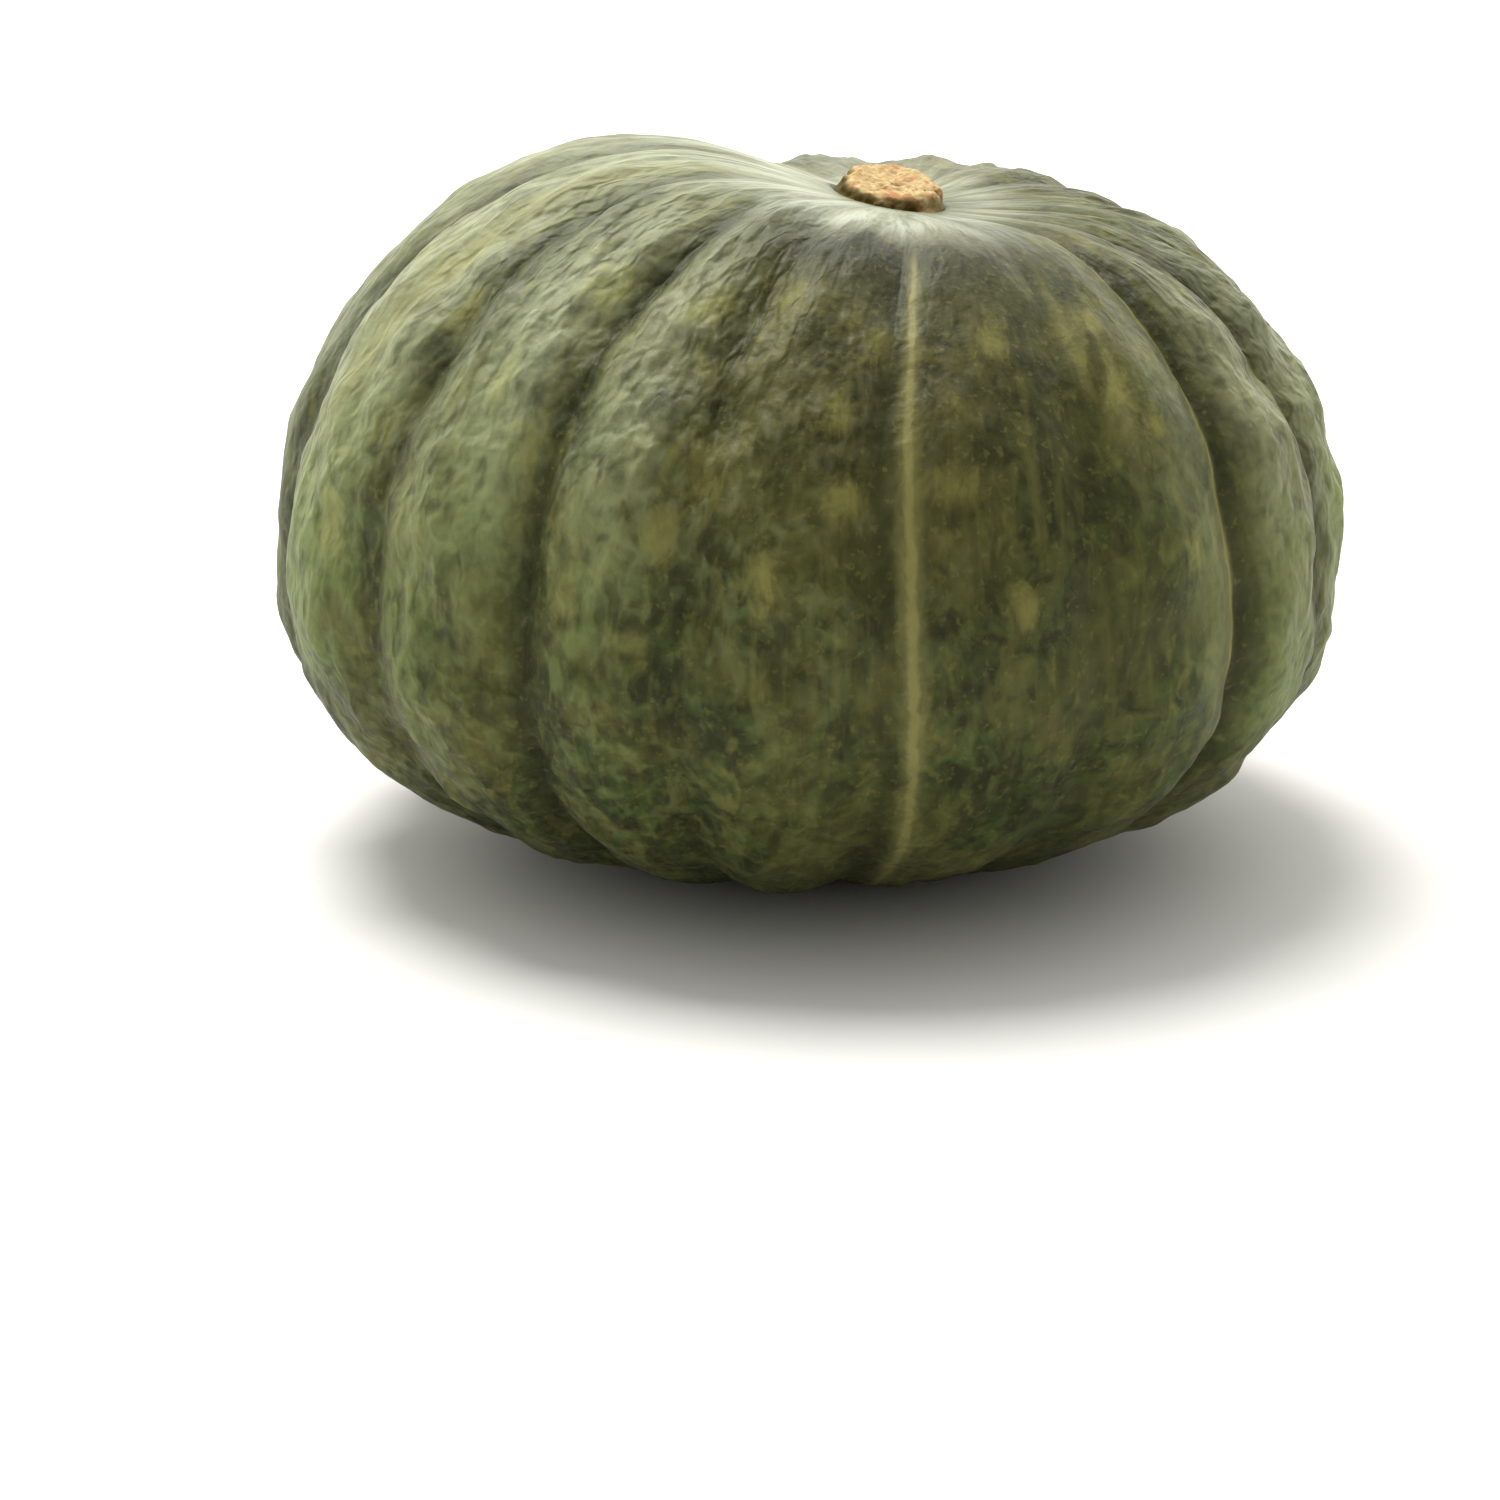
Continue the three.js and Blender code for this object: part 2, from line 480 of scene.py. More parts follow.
@dataclass(frozen=True)
class RindFinish:
    """Waxy dark green rind, mottled with olive, with paler ribs, stripes and blotches, and with sheen and shade
    painted into its colour.
    """

    PATTERNS = {
        "grit": Pattern(1300.0, 1.0, 0.6),
        "speck": Pattern(620.0, 2.0, 0.6),
        "mottle": Pattern(230.0, 3.0, 0.62, 0.8),
        "patch": Pattern(46.0, 3.0, 0.55),
        "streak": Pattern(420.0, 2.0, 0.6, 0.0, 0.16),
        "ragged": Pattern(240.0, 3.0, 0.68, 1.0, 0.60),
        "cloud": Pattern(105.0, 4.0, 0.62, 1.2, 0.60),
        "spot": Pattern(150.0, 2.0, 0.6, 0.8, 0.60),
        "pebble": Pattern(360.0, 1.0, 0.45, 0.3, 0.78),
    }

    deep: Colour = (0.024, 0.026, 0.009)
    leaf: Colour = (0.054, 0.076, 0.020)
    brown: Colour = (0.074, 0.064, 0.020)
    olive: Colour = (0.105, 0.098, 0.028)
    blotch: Colour = (0.212, 0.196, 0.056)
    dapple: Colour = (0.290, 0.300, 0.110)
    pale: Colour = (0.275, 0.265, 0.110)
    line: Colour = (0.222, 0.208, 0.074)
    # Pale grey-green waxy bloom, also used as a painted sheen on the lit lobes and along rib edges.
    bloom_and_sheen: Colour = (0.262, 0.286, 0.174)
    khaki: Colour = (0.236, 0.228, 0.130)
    fresh: Colour = (0.195, 0.240, 0.082)
    # Painted sheen: a pale bluish white painted round the stem and on the top, for light reflected by the waxy
    # skin.
    painted_sheen: Colour = (0.345, 0.370, 0.285)
    scar: Colour = (0.330, 0.225, 0.110)
    ground: Colour = (0.200, 0.175, 0.060)
    roughness: tuple[float, float] = (0.40, 0.58)
    refraction: float = 1.26
    specular: float = 0.30
    pebble_rise: float = 0.0013
    comb_rise: float = 0.00050
    speck_rise: float = 0.00012
    grit_rise: float = 0.00004

    def variation(self, bench: NodeBench) -> Sockets:
        """Lays out the random patterns of the rind, each from 0 to 1.

        Args:
            bench: The material's nodes.

        Returns:
            The patterns by name.
        """
        place = bench.add("ShaderNodeTexCoord").outputs["Object"]
        grain = bench.attribute("grain").outputs["Vector"]
        vary = {}
        for name, pattern in self.PATTERNS.items():
            where = bench.stretched(grain, (1.0, 1.0, pattern.along)) if pattern.along else place
            vary[name] = bench.noise(where, pattern)
        return vary

    def skin(self, bench: NodeBench, vary: Sockets, read: Sockets) -> Socket:
        """The mottled green and olive of the rind, with its waxy bloom partly painted as sheen, and the
        pebbles' painted light and shade.

        Args:
            bench: The material's nodes.
            vary: The random patterns.
            read: The fruit's marks.

        Returns:
            The colour.
        """
        leaf = bench.mix(bench.rise(vary["mottle"], 0.34, 0.66), self.deep, self.leaf)
        brown = bench.mix(bench.rise(vary["mottle"], 0.32, 0.68), self.deep, self.brown)
        colour = bench.mix(read["brown"], leaf, brown)
        colour = bench.mix(bench.rise(vary["patch"], 0.42, 0.62, 0.50), colour, self.olive)
        colour = bench.mix(bench.rise(vary["cloud"], 0.48, 0.68, 0.60), colour, self.olive)
        colour = bench.mix(bench.rise(vary["cloud"], 0.47, 0.33, 0.60), colour, self.deep)
        colour = bench.mix(bench.rise(vary["streak"], 0.50, 0.74, 0.20), colour, self.blotch)
        # The pale wax colour laid on by the bloom mark: partly the rind's waxy bloom, partly painted sheen.
        wax_and_sheen = bench.mix(read["brown"], bench.mix(read["low"], self.bloom_and_sheen, self.fresh), self.khaki)
        ragged = bench.between(vary["ragged"], 0.25, 1.35)
        uneven = bench.times(ragged, bench.between(vary["mottle"], 0.55, 1.45))
        colour = bench.mix(bench.times(read["bloom_and_sheen"], uneven), colour, wax_and_sheen)
        # Pebbles: crests paler, partly the wax's own colour and partly a painted highlight; pits darker with
        # painted shade.
        domes = bench.maths("ADD", vary["pebble"], bench.times(vary["cloud"], 0.5))
        crest_wax_and_highlight = bench.times(bench.rise(domes, 0.72, 0.98), bench.times(read["rough"], 0.40))
        colour = bench.mix(crest_wax_and_highlight, colour, wax_and_sheen)
        pebble_pit_shade = bench.times(bench.rise(domes, 0.74, 0.50), bench.times(read["rough"], 0.55))
        return bench.mix(pebble_pit_shade, colour, self.deep)

    def markings(self, bench: NodeBench, vary: Sockets, read: Sockets, skin: Socket) -> Socket:
        """Adds the blotches, stripes, painted shade in the furrows, thin lines and painted sheen to the skin.

        Args:
            bench: The material's nodes.
            vary: The random patterns.
            read: The fruit's marks.
            skin: The colour that they lie on.

        Returns:
            The colour.
        """
        torn = bench.times(bench.maths("SUBTRACT", vary["ragged"], 0.5), 1.7)
        spots = bench.rise(vary["spot"], 0.54, 0.74, 0.55)
        blotches = bench.rise(bench.maths("ADD", read["blotch"], torn), 0.25, 1.05)
        spots = bench.maths("MAXIMUM", spots, blotches)
        spots = bench.times(spots, bench.between(vary["mottle"], 0.10, 1.35))
        colour = bench.mix(spots, skin, bench.mix(read["bloom_and_sheen"], self.blotch, self.dapple))
        stripe = bench.times(read["pale"], bench.between(vary["ragged"], 0.10, 1.50))
        colour = bench.mix(stripe, colour, self.pale)
        # Painted shade down the furrows.
        painted_furrow_shade = bench.times(read["painted_furrow_shade"], bench.between(vary["ragged"], 0.45, 1.0))
        colour = bench.mix(painted_furrow_shade, colour, self.deep)
        shade = bench.times(read["shade"], bench.between(vary["cloud"], 0.40, 1.40))
        colour = bench.mix(shade, colour, self.deep)
        # Painted shade in the grooves between the shoulder's fine lengthwise ridges.
        comb = bench.times(read["comb"], bench.rise(vary["streak"], 0.52, 0.38))
        colour = bench.mix(bench.times(comb, 0.70), colour, self.deep)
        # Painted sheen round the stem and over the top, broken up by the streaks.
        broken = bench.between(vary["streak"], 0.40, 1.35)
        broken = bench.times(broken, bench.rise(vary["cloud"], 0.72, 0.42))
        painted_sheen = bench.times(read["painted_sheen"], bench.between(broken, 0.25, 1.30))
        colour = bench.mix(painted_sheen, colour, self.painted_sheen)
        wander = bench.times(bench.maths("SUBTRACT", vary["ragged"], 0.5), 1.5)
        beside = bench.maths("ABSOLUTE", bench.maths("ADD", read["line_way"], wander))
        core = bench.rise(beside, 0.80, 0.15, 0.58)
        edge = bench.rise(beside, 2.00, 0.40, 0.46)
        line = bench.times(bench.maths("ADD", core, edge), read["line_share"])
        line = bench.times(line, bench.between(vary["cloud"], 0.35, 1.45))
        colour = bench.mix(line, colour, self.line)
        colour = bench.mix(bench.rise(vary["speck"], 0.58, 0.70, 0.22), colour, self.blotch)
        colour = bench.mix(read["ground"], colour, bench.mix(vary["mottle"], self.ground, self.olive))
        return bench.mix(read["scar"], colour, self.scar)

    def relief(self, bench: NodeBench, vary: Sockets, read: Sockets) -> Socket:
        """The relief too fine for the mesh: pebbles, lengthwise ridges on the shoulder, specks and grit.

        Args:
            bench: The material's nodes.
            vary: The random patterns.
            read: The fruit's marks.

        Returns:
            The bumped normal.
        """
        height = bench.times(vary["pebble"], bench.times(read["rough"], self.pebble_rise))
        comb = bench.times(vary["streak"], bench.times(read["comb"], self.comb_rise))
        height = bench.maths("ADD", height, comb)
        height = bench.maths("ADD", height, bench.times(vary["speck"], self.speck_rise))
        return bench.bump(bench.maths("ADD", height, bench.times(vary["grit"], self.grit_rise)), 1.0)

    def make(self) -> bpy.types.Material:
        """Builds the material.

        Returns:
            The rind's material, which reads the fruit's own attributes.
        """
        material = bpy.data.materials.new("waxy_green_rind")
        material.use_nodes = True
        bench = NodeBench(material.node_tree)
        read = {name: bench.attribute(name).outputs["Fac"] for name in FruitMesh.MARKS}
        vary = self.variation(bench)
        shader = bench.add("ShaderNodeBsdfPrincipled", {
            "Base Color": self.markings(bench, vary, read, self.skin(bench, vary, read)),
            "Roughness": bench.between(vary["cloud"], *self.roughness),
            "IOR": self.refraction,
            "Specular IOR Level": self.specular,
            "Normal": self.relief(bench, vary, read),
        })
        bench.add("ShaderNodeOutputMaterial", {"Surface": shader.outputs[0]})
        return material


@dataclass(frozen=True)
class CorkFinish:
    """Dry cork, tan on the rough broken end and olive brown down the side, with painted shade in its pits, its
    notch, round its foot and on its front left rim.
    """

    tan: Colour = (0.41, 0.27, 0.115)
    light: Colour = (0.52, 0.40, 0.21)
    rust: Colour = (0.36, 0.14, 0.05)
    side: Colour = (0.125, 0.092, 0.020)
    shade: Colour = (0.060, 0.040, 0.006)
    roughness: float = 0.82
    specular: float = 0.15
    grit: Pattern = Pattern(1300.0, 4.0, 0.65)
    grit_height: float = 0.00013
    clot: Pattern = Pattern(260.0, 3.0, 0.55)
    clot_height: float = 0.00030

    def make(self) -> bpy.types.Material:
        """Builds the material.

        Returns:
            The cork's material, which reads the stem's own attributes.
        """
        material = bpy.data.materials.new("dry_cork")
        material.use_nodes = True
        bench = NodeBench(material.node_tree)
        place = bench.add("ShaderNodeTexCoord").outputs["Object"]
        read = {name: bench.attribute(name).outputs["Fac"] for name in StemMesh.MARKS}
        grit = bench.noise(place, self.grit)
        clot = bench.noise(place, self.clot)
        top = bench.mix(bench.rise(grit, 0.36, 0.64), self.tan, self.light)
        top = bench.mix(bench.rise(clot, 0.49, 0.60, 0.75), top, self.rust)
        flank = bench.mix(bench.rise(grit, 0.50, 0.76, 0.3), self.side, self.tan)
        colour = bench.mix(read["cut"], flank, top)
        # Painted shade in the clots' pits, in the notch, round the foot and on the front left rim.
        colour = bench.mix(read["cork_shade"], colour, self.shade)
        relief = bench.bump(grit, self.grit_height, bench.bump(clot, self.clot_height))
        shader = bench.add("ShaderNodeBsdfPrincipled", {
            "Base Color": colour, "Roughness": self.roughness, "Normal": relief,
            "Specular IOR Level": self.specular,
        })
        bench.add("ShaderNodeOutputMaterial", {"Surface": shader.outputs[0]})
        return material


def spun_mesh(name: str, profile: list[tuple[float, float]], columns: int, sectors: int) -> bpy.types.Mesh:
    """Spins a side outline round the Z axis into a closed mesh.

    Args:
        name: The new mesh's name.
        profile: The distance from the axis and the height of each point, from the bottom up. Both ends
            are on the axis.
        columns: The number of steps round.
        sectors: How many equal sectors the mesh is spun in.

    Returns:
        The mesh, with its faces pointing out.
    """
    body = bmesh.new()
    sector = 2.0 * math.pi / sectors
    around = {"cent": (0, 0, 0), "axis": (0, 0, 1), "dvec": (0, 0, 0), "use_merge": False}
    points = [body.verts.new((0.0, -out, height)) for out, height in profile]
    edges = [body.edges.new(pair) for pair in zip(points, points[1:])]
    bmesh.ops.spin(
        body, geom=points + edges, angle=sector, steps=columns // sectors, use_duplicate=False, **around)
    bmesh.ops.spin(
        body, geom=body.verts[:] + body.edges[:] + body.faces[:], angle=sector * (sectors - 1),
        steps=sectors - 1, use_duplicate=True, **around)
    bmesh.ops.remove_doubles(body, verts=body.verts, dist=SAME_PLACE)
    bmesh.ops.recalc_face_normals(body, faces=body.faces)
    mesh = bpy.data.meshes.new(name)
    body.to_mesh(mesh)
    body.free()
    mesh.shade_smooth()
    return mesh


def read_places(mesh: bpy.types.Mesh) -> Array:
    """The mesh's vertices, one row of x, y and z each."""
    places = np.empty(len(mesh.vertices) * 3)
    mesh.vertices.foreach_get("co", places)
    return places.reshape(-1, 3)


def write_places(mesh: bpy.types.Mesh, places: Array) -> None:
    """Moves the mesh's vertices."""
    mesh.vertices.foreach_set("co", places.ravel())
    mesh.update()


def write_mark(mesh: bpy.types.Mesh, name: str, values: Array) -> None:
    """Stores one number, or one row of three, for each vertex, for the material to read."""
    several = values.ndim == 2
    mark = mesh.attributes.new(name, "FLOAT_VECTOR" if several else "FLOAT", "POINT")
    mark.data.foreach_set("vector" if several else "value", values.astype(np.float32).ravel())


def show(name: Part, mesh: bpy.types.Mesh, material: bpy.types.Material) -> bpy.types.Object:
    """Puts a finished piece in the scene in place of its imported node.

    Args:
        name: The part that it stands for.
        mesh: Its mesh, in place.
        material: Its finish.

    Returns:
        The new object.
    """
    piece = bpy.data.objects.new(f"{name.value}_surface", mesh)
    bpy.context.scene.collection.objects.link(piece)
    piece.data.materials.append(material)
    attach(piece, "root")
    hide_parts(name.value)
    LOG.info("%s: %d faces", piece.name, len(mesh.polygons))
    return piece


@dataclass
class FruitMesh:
    """The ribbed fruit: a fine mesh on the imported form, with its relief and the marks for its colours."""

    MARKS = (
        "pale", "line_way", "line_share", "painted_furrow_shade", "shade", "bloom_and_sheen", "painted_sheen", "brown", "blotch", "rough",
        "comb", "low", "ground", "scar",
    )
    FAR_WAY = 6.0
    LINE_REACH = 2.6
    RIM_SLACK = 1e-5

    form: FruitForm = field(default_factory=FruitForm)
    shift: Array | None = field(default=None, init=False)
    columns_per_rib: int = 24
    rows: int = 232
    socket_radius: float = 0.0092
    socket_depth: float = 0.0028
    row_length: float = 0.75
    row_slant: float = 0.45
    pebble_size: float = 0.0046
    pebble_stretch: float = 1.45
    pebble_height: float = 0.00085
    pebble_range: tuple[float, float] = (-0.25, 0.55)
    fine_pebbles: float = 2.1
    fine_amount: float = 0.35
    usual_rough: float = 0.5
    least_rough: float = 0.08
    rough_fade: tuple[float, float] = (0.014, 0.050)
    swell_size: float = 0.0115
    swell_height: float = 0.00130
    swell_fade: tuple[float, float] = (0.012, 0.045)
    line_height: float = 0.00028
    line_fade: tuple[float, float] = (0.020, 0.050)
    furrow_shade: float = 0.40
    furrow_fade: tuple[float, float] = (0.010, 0.022)
    comb_size: float = 0.0030
    comb_stretch: float = 5.0
    comb_height: float = 0.00055
    scar_radius: float = 0.0045
    scar_depth: float = 0.0012
    # A ring of painted sheen round the stem, fainter in the furrows.
    ring_radius: float = 0.0170
    ring_width: float = 0.0085
    ring_sheen: float = 0.58
    furrow_sheen_loss: float = 0.42
    low_levels: tuple[float, float] = (0.0, 44.0)
    ground_levels: tuple[float, float] = (-76.0, -52.0)
    ground_amount: float = 0.55
    grain_length: float = 0.85
    blotch_length: float = 0.80
    pale_bands: tuple[Band, ...] = (
        Band(-57, -67, 3.0, 84, 20, 0.60), Band(38, 38, 1.2, 50, 18, 0.30), Band(116, 117, 2.4, 80, 5, 0.5),
        Band(160, 161, 2.2, 80, 0, 0.45), Band(202, 203, 2.6, 78, -5, 0.5), Band(243, 244, 2.4, 80, 0, 0.5),
    )
    thin_lines: tuple[ThinLine, ...] = (
        ThinLine(9.2, 11.9, 61, -58, 0.95), ThinLine(51.0, 50.8, 74, -25, 0.80),
        ThinLine(70.8, 70.2, 60, -30, 0.45), ThinLine(33.6, 33.0, 58, 36, 0.30),
        ThinLine(-33.4, -33.6, 56, 12, 0.25), ThinLine(95, 96, 58, -20, 0.45),
        ThinLine(116, 118, 52, 10, 0.30), ThinLine(136, 138, 60, -40, 0.55),
        ThinLine(159, 158, 40, -30, 0.25), ThinLine(179, 181, 60, -50, 0.70),
        ThinLine(202, 201, 56, 20, 0.30), ThinLine(222, 225, 58, -50, 0.45),
        ThinLine(263, 262, 60, -25, 0.45),
    )
    # Bands of pale waxy bloom, partly painted sheen on the lit lobes and along rib edges.
    bloom_and_sheen_bands: tuple[Band, ...] = (
        Band(-37, -38, 5.5, 62, 8, 0.65), Band(-23, -22, 5.0, 60, 5, 0.60),
        Band(-66, -66, 9.0, 70, -10, 0.50), Band(-50, -44, 4.0, 30, -20, 0.45),
        Band(45.5, 46.5, 3.4, 64, -10, 0.42), Band(62, 62, 6.0, 60, -20, 0.60),
        Band(82, 82, 6.0, 56, -20, 0.60), Band(103, 103, 6.0, 58, -10, 0.34),
        Band(126, 123, 4.0, 50, 5, 0.18), Band(144, 146, 6.0, 64, -25, 0.26),
        Band(170, 167, 4.0, 52, -5, 0.14), Band(186, 189, 5.0, 62, 15, 0.22),
        Band(210, 209, 7.0, 56, -20, 0.20), Band(232, 230, 5.0, 62, 0, 0.14),
        Band(249, 251, 6.0, 60, -20, 0.28), Band(271, 271, 6.0, 64, -20, 0.40),
    )
    # Bands of painted shade down the furrows.
    painted_furrow_shade_bands: tuple[Band, ...] = (
        Band(-50, -52, 4.6, 63, 14, 0.75), Band(-31, -31, 1.9, 70, -62, 1.0),
        Band(-13, -13.5, 2.2, 72, 30, 0.8), Band(6.4, 8.6, 1.6, 62, -50, 0.85),
        Band(32, 32, 1.6, 62, 30, 0.5), Band(53.4, 53.4, 2.0, 72, -62, 1.0),
        Band(72.4, 72.4, 1.6, 70, -60, 0.85), Band(-79, -79, 2.2, 76, -60, 0.7),
    )
    blotches: tuple[Blotch, ...] = (
        Blotch(-18.8, 47, 0.0036, 1.3), Blotch(-9.2, 50, 0.0034, 1.5), Blotch(-13.5, 54, 0.0030, 1.6),
        Blotch(-55, 38, 0.0034), Blotch(-35, 24.5, 0.0036), Blotch(-12.8, 25, 0.0034),
        Blotch(-15.5, 16, 0.0034), Blotch(6, 44, 0.0026, 2.0), Blotch(1.8, 32.5, 0.0034, 1.3),
        Blotch(3.2, 22, 0.0036, 1.2), Blotch(20.8, 45, 0.0034, 1.3), Blotch(32.8, 47.5, 0.0026, 1.5),
        Blotch(38.5, 48, 0.0028, 1.3), Blotch(15.5, 24.5, 0.0036, 1.3), Blotch(42, 30, 0.0026, 1.3),
        Blotch(38, 37, 0.0026, 1.8), Blotch(65, 51, 0.0028), Blotch(-61, 10, 0.0036),
        Blotch(-56.5, 22, 0.0030), Blotch(-36, 46, 0.0034), Blotch(-5, 12, 0.0030),
        Blotch(22, 8, 0.0034, 1.2), Blotch(44, 12, 0.0028), Blotch(-26, 8, 0.0032), Blotch(82, 40, 0.0028),
        Blotch(104, 22, 0.0030), Blotch(121, 44, 0.0030, 1.6), Blotch(128, 14, 0.0030),
        Blotch(150, 34, 0.0034, 1.4), Blotch(164, 12, 0.0030), Blotch(171, 46, 0.0026, 2.0),
        Blotch(193, 26, 0.0034), Blotch(207, 40, 0.0030), Blotch(214, 8, 0.0032),
        Blotch(234, 36, 0.0030, 1.8), Blotch(246, 18, 0.0032),
    )
    rough_patches: tuple[Patch, ...] = (
        Patch(-45, 25, 24, 45, 0.55), Patch(-18, 25, 10, 40, 0.45), Patch(32, 20, 19, 60, -0.42),
        Patch(80, 25, 18, 45, 0.40), Patch(140, 20, 32, 45, 0.40), Patch(215, 25, 26, 45, 0.35),
        Patch(180, 20, 14, 60, -0.25),
    )
    comb_patches: tuple[Patch, ...] = (
        Patch(68, 58, 30, 18, 1.0), Patch(118, 60, 20, 16, 0.7), Patch(190, 58, 16, 18, 0.5),
        Patch(-72, 58, 12, 16, 0.5),
    )
    # Patches of pale waxy bloom, partly painted sheen on the lit lobes.
    bloom_and_sheen_patches: tuple[Patch, ...] = (
        Patch(-50, 42, 26, 32, 0.66), Patch(-63, 36, 9, 24, 0.26), Patch(-68, 20, 8, 34, 0.40),
        Patch(74, 20, 20, 45, 0.68), Patch(-95, 66, 60, 18, 0.45), Patch(140, 30, 20, 35, 0.20),
        Patch(215, 24, 18, 35, 0.20), Patch(262, 35, 20, 45, 0.30), Patch(98, 56, 22, 14, 0.38),
    )
    # Patches of painted sheen on the top; one takes some away.
    painted_sheen_patches: tuple[Patch, ...] = (
        Patch(-100, 72, 60, 13, 0.38), Patch(215, 72, 40, 12, 0.15), Patch(-40, 74, 40, 7, 0.25),
        Patch(2, 71, 30, 4.7, 0.62), Patch(85, 77, 36, 10, -0.20),
    )
    shade_patches: tuple[Patch, ...] = (
        Patch(6, 60, 38, 10, 0.80), Patch(-4, 62, 16, 6, 0.30), Patch(20, 28, 12, 34, 0.26),
        Patch(72, 56, 20, 13, 0.45), Patch(118, 16, 22, 30, 0.30), Patch(152, 30, 26, 34, 0.50),
        Patch(198, 22, 24, 32, 0.42), Patch(238, 26, 22, 34, 0.52), Patch(272, 10, 20, 26, 0.30),
    )
    brown_patches: tuple[Patch, ...] = (
        Patch(10, 40, 24, 32, 1.0), Patch(60, 40, 18, 36, 0.6), Patch(160, 30, 30, 40, 0.8),
        Patch(238, 20, 24, 36, 0.7),
    )

    def profile(self) -> list[tuple[float, float]]:
        """The side outline from the blossom end up to the socket's rim, and down into the socket."""
        floor = self.form.top_height - self.socket_depth
        rim = self.form.even_places(self.rows, self.socket_radius)
        return rim + [(self.socket_radius, floor), (self.socket_radius / 2.0, floor), (0.0, floor)]

    def relief(self, angle: Array, out: Array, level: Array) -> tuple[Array, Array]:
        """The fine relief of the rind.

        Args:
            angle: The angle round the fruit.
            out: The distance from the axis on the side outline.
            level: The level up the fruit.

        Returns:
            How far the relief stands out, and how rough each place is, from 0 to 1.
        """
        radius, turn = self.form.radius, np.radians(angle)
        up = np.radians(level) * radius * self.row_length + self.row_slant * radius * np.sin(turn)
        places = np.stack([radius * np.cos(turn), radius * np.sin(turn), up], axis=1)
        coarse = soft_noise(places, self.pebble_size, self.pebble_stretch)
        fine = soft_noise(places, self.pebble_size / self.fine_pebbles, self.pebble_stretch, offset=31.7)
        broad = soft_noise(places, self.swell_size, offset=7.3)
        ridges = soft_noise(places, self.comb_size, self.comb_stretch, offset=17.9)
        rough = self.usual_rough + self.patches(self.rough_patches, angle, level)
        rough = np.clip(rough, self.least_rough, 1.0) * smoothstep(out, *self.rough_fade)
        knobs = self.pebble_height * smoothstep(coarse + self.fine_amount * fine, *self.pebble_range)
        swell = self.swell_height * (0.3 + 0.7 * rough) * broad * smoothstep(out, *self.swell_fade)
        return rough * knobs + swell + self.comb_height * self.comb(angle, level) * ridges, rough

    def comb(self, angle: Array, level: Array) -> Array:
        """How strongly fine lengthwise ridges show at each place."""
        return np.clip(self.patches(self.comb_patches, angle, level), 0.0, 1.0)

    def patches(self, group: tuple[Patch, ...], angle: Array, level: Array) -> Array:
        """The sum of a group of patches at each place."""
        return sum(patch.share(angle, level) for patch in group)

    def bands(self, group: tuple[Band, ...], angle: Array, level: Array) -> Array:
        """The strongest band of a group at each place."""
        return np.maximum.reduce([band.share(angle, level) for band in group])

    def line_marks(self, angle: Array, level: Array) -> tuple[Array, Array]:
        """The signed way to the nearest thin line in degrees, and how strongly that line shows there."""
        way, share = np.full_like(angle, self.FAR_WAY), np.zeros_like(angle)
        for line in self.thin_lines:
            here = line.way(angle, level)
            nearer = np.abs(here) < np.abs(way)
            way = np.where(nearer, here, way)
            share = np.where(nearer, line.share(level), share)
        return way, share * (np.abs(way) < self.LINE_REACH)

    def blotch_share(self, angle: Array, out: Array, level: Array) -> Array:
        """How near each place is to the middle of a blotch, from 0 to 1."""
        total = np.zeros_like(angle)
        for blotch in self.blotches:
            across = np.radians(angle_between(angle, blotch.angle)) * out / blotch.size
            along = np.radians(level - blotch.level) * self.form.radius * self.blotch_length
            along = along / (blotch.size * blotch.stretch)
            total = np.maximum(total, np.exp(-(across**2 + along**2)))
        return total

    def colour_marks(
        self, angle: Array, out: Array, height: Array, level: Array, sharp: Array,
    ) -> dict[str, Array]:
        """Where each colour lies on the rind, apart from the thin lines and the scar.

        Args:
            angle: The angle round the fruit.
            out: The distance from the axis on the side outline.
            height: The height on the side outline.
            level: The level up the fruit.
            sharp: How near each place is to the bottom of a furrow, from 0 to 1.

        Returns:
            The marks by name, each a share for each place.
        """
        furrow = sharp * smoothstep(out, *self.furrow_fade)
        # Painted sheen: a ring round the stem and patches on the top.
        ring = np.exp(-(((out - self.ring_radius) / self.ring_width) ** 2))
        ring_sheen = (self.ring_sheen - self.furrow_sheen_loss * furrow) * ring
        painted_sheen = np.where(height > 0.0, ring_sheen, 0.0) + self.patches(self.painted_sheen_patches, angle, level)
        # Pale waxy bloom and painted sheen, less of both in the furrows.
        bloom_and_sheen = self.bands(self.bloom_and_sheen_bands, angle, level) * (1.0 - 0.5 * sharp)
        bloom_and_sheen += self.patches(self.bloom_and_sheen_patches, angle, level) * (1.0 - 0.8 * sharp)
        return {
            "pale": self.bands(self.pale_bands, angle, level),
            # Painted shade in the furrows, from the bands and from each furrow's depth.
            "painted_furrow_shade": np.maximum(self.bands(self.painted_furrow_shade_bands, angle, level), self.furrow_shade * furrow),
            "bloom_and_sheen": np.clip(bloom_and_sheen, 0.0, 1.0),
            "painted_sheen": np.clip(painted_sheen, 0.0, 1.0),
            "shade": np.clip(self.patches(self.shade_patches, angle, level), 0.0, 1.0),
            "brown": np.clip(self.patches(self.brown_patches, angle, level), 0.0, 1.0),
            "blotch": self.blotch_share(angle, out, level),
            "comb": self.comb(angle, level),
            "low": 1.0 - smoothstep(level, *self.low_levels),
            "ground": self.ground_amount * (1.0 - smoothstep(level, *self.ground_levels)),
        }

